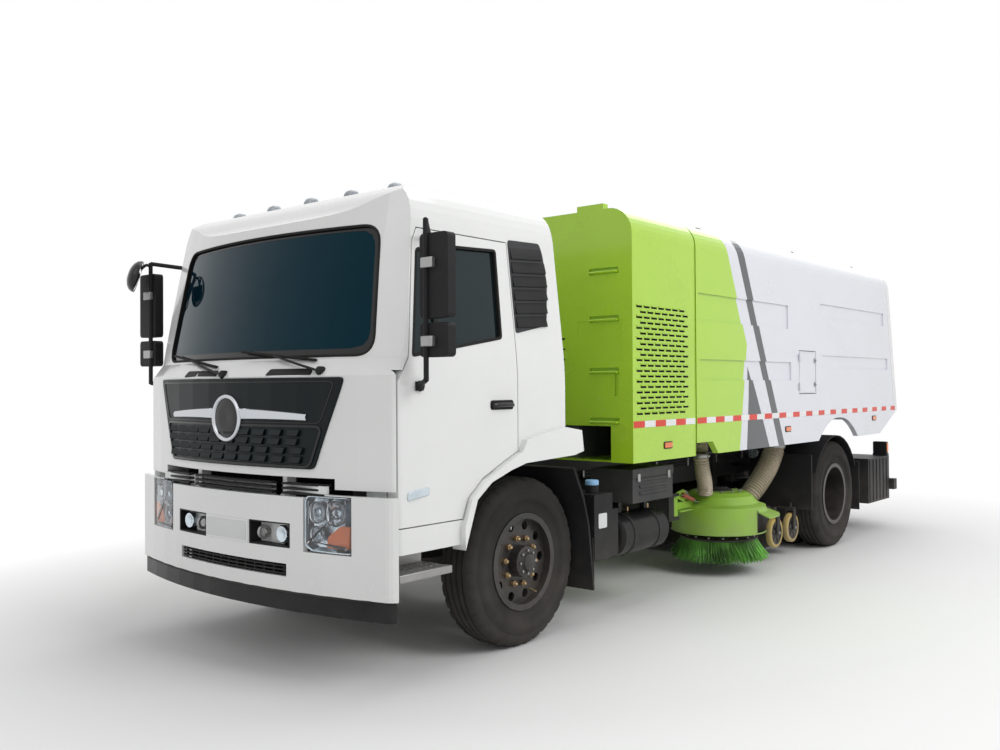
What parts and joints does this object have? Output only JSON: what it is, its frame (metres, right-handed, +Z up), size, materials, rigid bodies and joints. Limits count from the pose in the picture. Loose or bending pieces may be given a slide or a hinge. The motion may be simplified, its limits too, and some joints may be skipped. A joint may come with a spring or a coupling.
{
  "type": "street sweeper truck",
  "caption": "Two-axle street sweeper truck with a tilting cab, tipping hopper, side brushes and a suction nozzle on castors.",
  "frame": {"origin": "middle of the whole truck's length and width, on the ground under the wheels", "axes": "+X to the truck's left, +Y to its rear, +Z up; the truck faces -Y"},
  "size_m": [2.96, 8.2, 3.03],
  "materials": {
    "white_paint": "gloss",
    "hopper_paint": "gloss",
    "green_paint": "gloss",
    "chassis_paint": "satin",
    "engine_paint": "satin",
    "black_plastic": "matte",
    "dark_grille": "satin",
    "tank_plastic": "matte",
    "tank_black": "gloss",
    "bare_steel": "brushed",
    "fuel_alloy": "brushed",
    "rim_black": "satin",
    "tyre_rubber": "matte",
    "lamp_glass": "gloss",
    "window_glass": "gloss",
    "hose_skin": "satin",
    "seat_cloth": "woven",
    "trim_dark": "grained",
    "mirror_shell": "satin",
    "ram_red": "gloss",
    "rod_chrome": "polished",
    "bristle_green": "matte",
    "castor_yellow": "satin"
  },
  "bodies": {
    "chassis": {"chassis_frame": "chassis_paint", "front_axle": "chassis_paint", "rear_axle": "chassis_paint", "leaf_springs": "chassis_paint", "engines": "engine_paint", "front_bumper": "white_paint", "lamps": "lamp_glass", "front_mudguards": "black_plastic", "entry_steps": "bare_steel", "urea_tank": "tank_plastic", "air_tanks": "tank_black", "battery_box": "chassis_paint", "fuel_tank": "fuel_alloy", "silencer": "bare_steel", "fan_housing": "green_paint", "rear_mudguards": "black_plastic", "rear_underrun": "chassis_paint", "left_brush_hose": "hose_skin", "right_brush_hose": "hose_skin", "nozzle_hoses": "hose_skin"},
    "cab": {"cab_shell": "white_paint", "grille": "dark_grille", "windscreen": "window_glass", "dashboard": "trim_dark", "seats": "seat_cloth", "steering_wheel": "trim_dark"},
    "left_door": {"left_door": "white_paint", "left_window": "window_glass", "left_mirrors": "mirror_shell"},
    "right_door": {"right_door": "white_paint", "right_window": "window_glass", "right_mirrors": "mirror_shell"},
    "left_knuckle": {"left_knuckle": "chassis_paint"},
    "right_knuckle": {"right_knuckle": "chassis_paint"},
    "tie_rod": {"tie_rod": "chassis_paint"},
    "left_front_wheel": {"left_front_tyre": "tyre_rubber", "left_front_rim": "rim_black"},
    "right_front_wheel": {"right_front_tyre": "tyre_rubber", "right_front_rim": "rim_black"},
    "left_rear_wheels": {"left_rear_tyres": "tyre_rubber", "left_rear_rims": "rim_black"},
    "right_rear_wheels": {"right_rear_tyres": "tyre_rubber", "right_rear_rims": "rim_black"},
    "hopper": {"hopper": "hopper_paint", "roof_duct": "hopper_paint"},
    "rear_door": {"rear_door": "hopper_paint"},
    "side_hatch": {"side_hatch": "hopper_paint"},
    "tip_barrels": {"tip_barrels": "ram_red"},
    "tip_rods": {"tip_rods": "rod_chrome"},
    "left_brush_arm": {"left_brush_arm": "green_paint"},
    "right_brush_arm": {"right_brush_arm": "green_paint"},
    "left_brush": {"left_brush": "bristle_green"},
    "right_brush": {"right_brush": "bristle_green"},
    "suction_nozzle": {"suction_nozzle": "chassis_paint"},
    "front_left_castor": {"front_left_castor": "castor_yellow"},
    "front_right_castor": {"front_right_castor": "castor_yellow"},
    "rear_left_castor": {"rear_left_castor": "castor_yellow"},
    "rear_right_castor": {"rear_right_castor": "castor_yellow"}
  },
  "joints": [
    {"name": "cab_tilt", "type": "hinge", "parent": "chassis", "child": "cab", "pos_m": [0, -3.995, 0.98], "axis": [1, 0, 0], "range_deg": [0, 45]},
    {"name": "left_door_swing", "type": "hinge", "parent": "cab", "child": "left_door", "pos_m": [1.184, -3.861, 1.5], "axis": [0, 0, -1], "range_deg": [0, 65]},
    {"name": "right_door_swing", "type": "hinge", "parent": "cab", "child": "right_door", "pos_m": [-1.184, -3.861, 1.5], "axis": [0, 0, 1], "range_deg": [0, 65]},
    {"name": "left_steer", "type": "hinge", "parent": "chassis", "child": "left_knuckle", "pos_m": [0.85, -2.68, 0.522], "axis": [0, 0, 1], "range_deg": [-35, 35]},
    {"name": "right_steer", "type": "hinge", "parent": "chassis", "child": "right_knuckle", "pos_m": [-0.85, -2.68, 0.522], "axis": [0, 0, 1], "range_deg": [-35, 35]},
    {"name": "tie_rod_pivot", "type": "hinge", "parent": "left_knuckle", "child": "tie_rod", "pos_m": [0.85, -2.51, 0.408], "axis": [0, 0, 1], "range_deg": [-35, 35]},
    {"name": "left_front_spin", "type": "hinge", "parent": "left_knuckle", "child": "left_front_wheel", "pos_m": [0.958, -2.68, 0.522], "axis": [1, 0, 0], "continuous": true},
    {"name": "right_front_spin", "type": "hinge", "parent": "right_knuckle", "child": "right_front_wheel", "pos_m": [-0.958, -2.68, 0.522], "axis": [1, 0, 0], "continuous": true},
    {"name": "left_rear_spin", "type": "hinge", "parent": "chassis", "child": "left_rear_wheels", "pos_m": [0.934, 2.12, 0.522], "axis": [1, 0, 0], "continuous": true},
    {"name": "right_rear_spin", "type": "hinge", "parent": "chassis", "child": "right_rear_wheels", "pos_m": [-0.934, 2.12, 0.522], "axis": [1, 0, 0], "continuous": true},
    {"name": "hopper_tip", "type": "hinge", "parent": "chassis", "child": "hopper", "pos_m": [0, 3.47, 1.025], "axis": [-1, 0, 0], "range_deg": [0, 42]},
    {"name": "rear_door_swing", "type": "hinge", "parent": "hopper", "child": "rear_door", "pos_m": [0, 3.62, 2.895], "axis": [1, 0, 0], "range_deg": [0, 75]},
    {"name": "side_hatch_swing", "type": "hinge", "parent": "hopper", "child": "side_hatch", "pos_m": [1.273, 1.158, 1.72], "axis": [0, 0, -1], "range_deg": [0, 100]},
    {"name": "ram_swing", "type": "hinge", "parent": "chassis", "child": "tip_barrels", "pos_m": [0.19, 3.22, 0.64], "axis": [-1, 0, 0], "range_deg": [0, 36.91]},
    {"name": "ram_extend", "type": "slide", "parent": "tip_barrels", "child": "tip_rods", "axis": [0, -0.8216, 0.57], "range_m": [0, 0.3137]},
    {"name": "left_brush_swing", "type": "hinge", "parent": "chassis", "child": "left_brush_arm", "pos_m": [0.8, -0.35, 0.61], "axis": [0, 0, -1], "range_deg": [0, 20], "deforming": ["left_brush_hose"]},
    {"name": "right_brush_swing", "type": "hinge", "parent": "chassis", "child": "right_brush_arm", "pos_m": [-0.8, -0.35, 0.61], "axis": [0, 0, 1], "range_deg": [0, 20], "deforming": ["right_brush_hose"]},
    {"name": "left_brush_spin", "type": "hinge", "parent": "left_brush_arm", "child": "left_brush", "pos_m": [0.89, 0.28, 0.345], "axis": [0, 0, 1], "continuous": true},
    {"name": "right_brush_spin", "type": "hinge", "parent": "right_brush_arm", "child": "right_brush", "pos_m": [-0.89, 0.28, 0.345], "axis": [0, 0, 1], "continuous": true},
    {"name": "nozzle_lift", "type": "slide", "parent": "chassis", "child": "suction_nozzle", "axis": [0, 0, 1], "range_m": [-0.11, 0.02], "deforming": ["nozzle_hoses"]},
    {"name": "front_left_castor_spin", "type": "hinge", "parent": "suction_nozzle", "child": "front_left_castor", "pos_m": [1.085, 0.99, 0.26], "axis": [1, 0, 0], "continuous": true},
    {"name": "front_right_castor_spin", "type": "hinge", "parent": "suction_nozzle", "child": "front_right_castor", "pos_m": [-1.085, 0.99, 0.26], "axis": [1, 0, 0], "continuous": true},
    {"name": "rear_left_castor_spin", "type": "hinge", "parent": "suction_nozzle", "child": "rear_left_castor", "pos_m": [1.07, 1.39, 0.26], "axis": [1, 0, 0], "continuous": true},
    {"name": "rear_right_castor_spin", "type": "hinge", "parent": "suction_nozzle", "child": "rear_right_castor", "pos_m": [-1.07, 1.39, 0.26], "axis": [1, 0, 0], "continuous": true}
  ],
  "couplings": [
    {"joint": "right_steer", "follows": "left_steer", "ratio": 1},
    {"joint": "tie_rod_pivot", "follows": "left_steer", "ratio": -1},
    {"joint": "ram_swing", "follows": "hopper_tip", "ratio": 0.86452},
    {"joint": "ram_extend", "follows": "hopper_tip", "m_per_rad": 0.42254}
  ]
}
